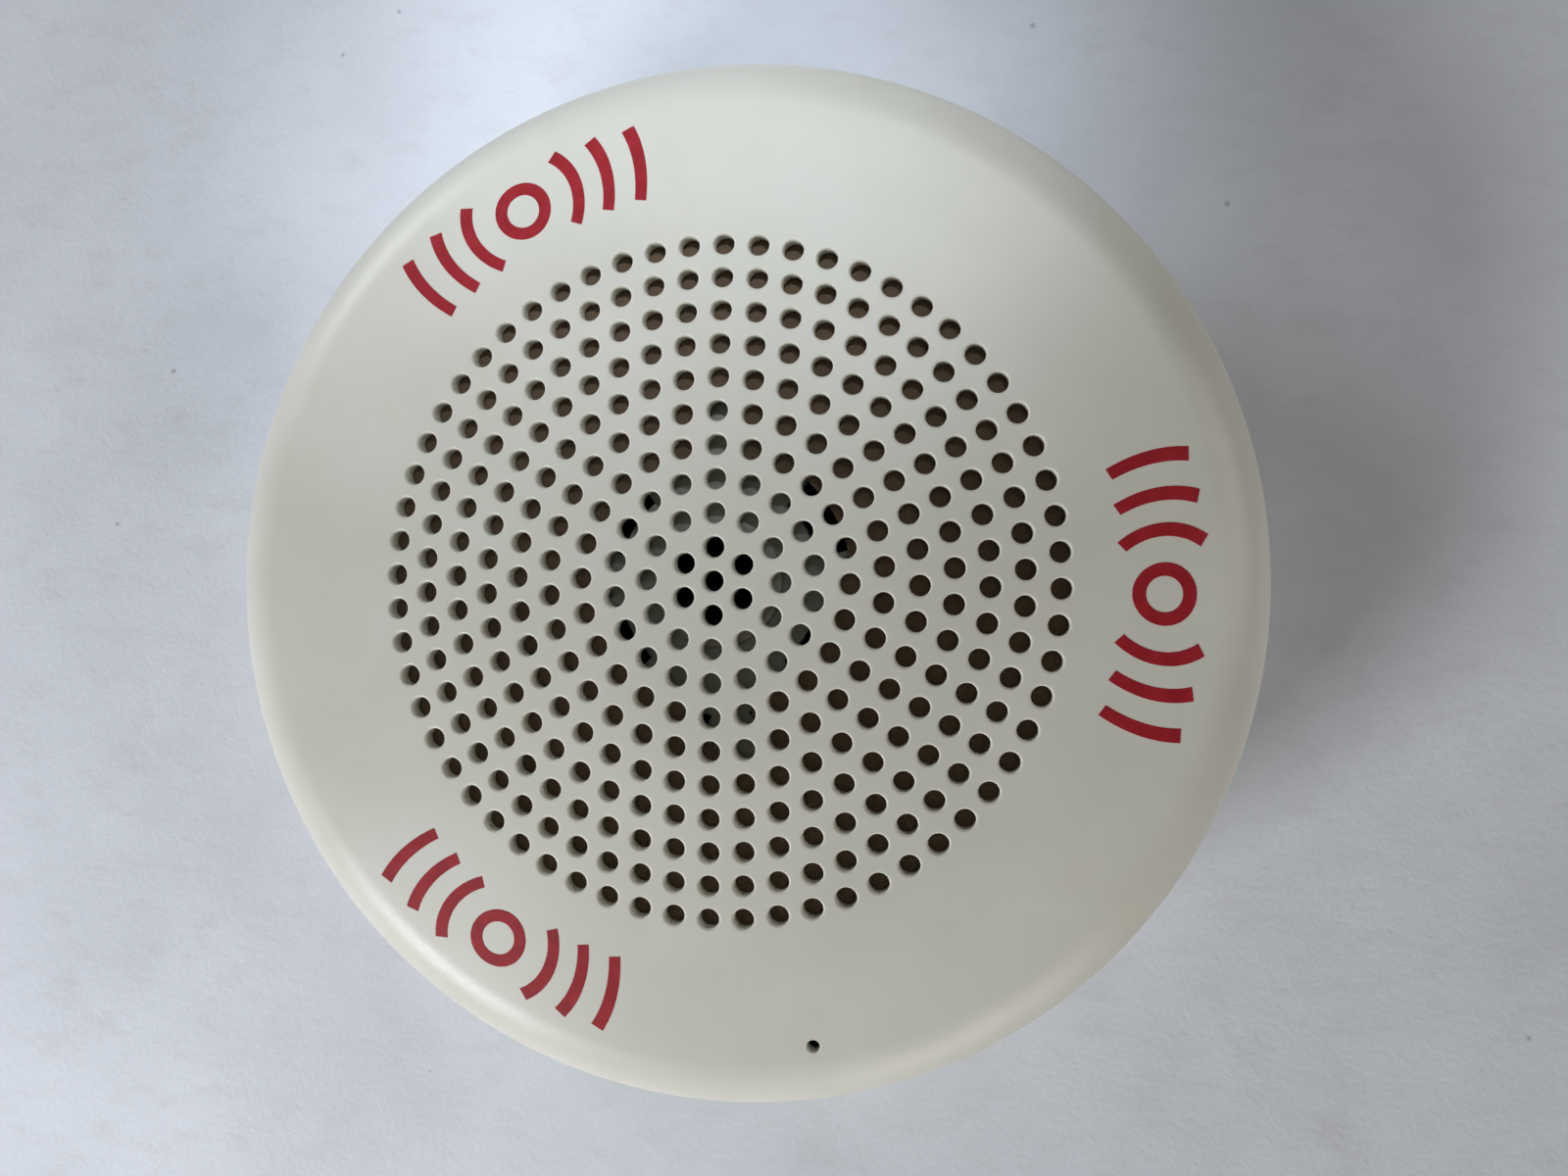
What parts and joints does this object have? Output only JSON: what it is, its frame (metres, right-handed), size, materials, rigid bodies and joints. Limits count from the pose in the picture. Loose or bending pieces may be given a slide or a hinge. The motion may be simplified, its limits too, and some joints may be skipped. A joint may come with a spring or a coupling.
{
  "type": "ceiling alarm sounder",
  "caption": "Round ceiling-mount alarm loudspeaker: domed white cover with a perforated grille and dust cloth over a cone driver, line transformer and wiring board on a twist-lock base.",
  "frame": {"origin": "centre of the flat back of the base plate, where it meets the ceiling or wall box", "axes": "+Z out of the front through the centre of the grille; +X to the picture's right, on the wiring board's side; +Y to the picture's top"},
  "size_m": [0.166, 0.166, 0.052],
  "materials": {
    "cover_plastic": "satin moulded off-white",
    "bracket_plastic": "satin moulded beige",
    "grille_cloth": "thin brown dust cloth",
    "base_plastic": "satin moulded off-white",
    "basket_steel": "zinc-plated pressing",
    "bright_steel": "bright zinc plating",
    "gasket_board": "compressed brown fibre",
    "surround_cloth": "doped brown cloth",
    "cone_paper": "pressed dark pulp",
    "cap_felt": "black felted cloth",
    "spider_cloth": "resin-treated yellow cloth",
    "former_paper": "kraft paper tube",
    "copper_wire": "enamelled copper",
    "ferrite": "ground dark ferrite",
    "lamination_steel": "varnished laminations",
    "bobbin_nylon": "natural nylon",
    "winding_tape": "yellow polyester tape",
    "board_laminate": "green solder mask",
    "terminal_plastic": "moulded green nylon",
    "capacitor_sleeve": "shrunk blue sleeve",
    "switch_plastic": "moulded black",
    "rotor_plastic": "moulded white",
    "tag_fibre": "brown paper laminate",
    "wire_red": "red vinyl insulation",
    "wire_black": "black vinyl insulation"
  },
  "bodies": {
    "base": {"base_plate": "base_plastic", "basket": "basket_steel", "gasket": "gasket_board", "surround": "surround_cloth", "spider": "spider_cloth", "top_plate": "bright_steel", "magnet": "ferrite", "yoke": "bright_steel", "driver_screw_1": "bright_steel", "driver_screw_2": "bright_steel", "driver_screw_3": "bright_steel", "driver_screw_4": "bright_steel", "tag_strip": "tag_fibre", "solder_tag_1": "bright_steel", "solder_tag_2": "bright_steel", "transformer_core": "lamination_steel", "transformer_bobbin": "bobbin_nylon", "transformer_winding": "winding_tape", "transformer_strap": "bright_steel", "strap_screw_1": "bright_steel", "strap_screw_2": "bright_steel", "circuit_board": "board_laminate", "board_screw_1": "bright_steel", "board_screw_2": "bright_steel", "capacitor": "capacitor_sleeve", "terminal_block": "terminal_plastic", "terminal_screw_1": "bright_steel", "terminal_screw_2": "bright_steel", "terminal_screw_3": "bright_steel", "terminal_screw_4": "bright_steel", "tap_selector_body": "switch_plastic", "voltage_switch_body": "bright_steel", "primary_wire_1": "wire_red", "primary_wire_2": "wire_black", "secondary_wire_1": "wire_red", "secondary_wire_2": "wire_black"},
    "cover": {"front_cover": "cover_plastic", "centre_bracket": "bracket_plastic", "grille_cloth": "grille_cloth"},
    "moving_cone": {"cone": "cone_paper", "dust_cap": "cap_felt", "voice_coil_former": "former_paper", "voice_coil": "copper_wire"},
    "tap_rotor": {"tap_selector_rotor": "rotor_plastic"},
    "switch_slider": {"voltage_switch_slider": "switch_plastic"}
  },
  "joints": [
    {"name": "cover_twist", "type": "hinge", "parent": "base", "child": "cover", "pos_m": [0, 0, 0], "axis": [0, 0, 1], "range_deg": [0, 24]},
    {"name": "cone_travel", "type": "slide", "parent": "base", "child": "moving_cone", "axis": [0, 0, 1], "range_m": [-0.0015, 0.0015], "stiffness_N_per_m": 2000, "deforming": ["surround", "spider"]},
    {"name": "tap_selector_turn", "type": "hinge", "parent": "base", "child": "tap_rotor", "pos_m": [0.0642, 0.0125, 0.0164], "axis": [0, 0, 1], "range_deg": [0, 150]},
    {"name": "voltage_switch_slide", "type": "slide", "parent": "base", "child": "switch_slider", "axis": [0, 1, 0], "range_m": [0, 0.0025]}
  ]
}
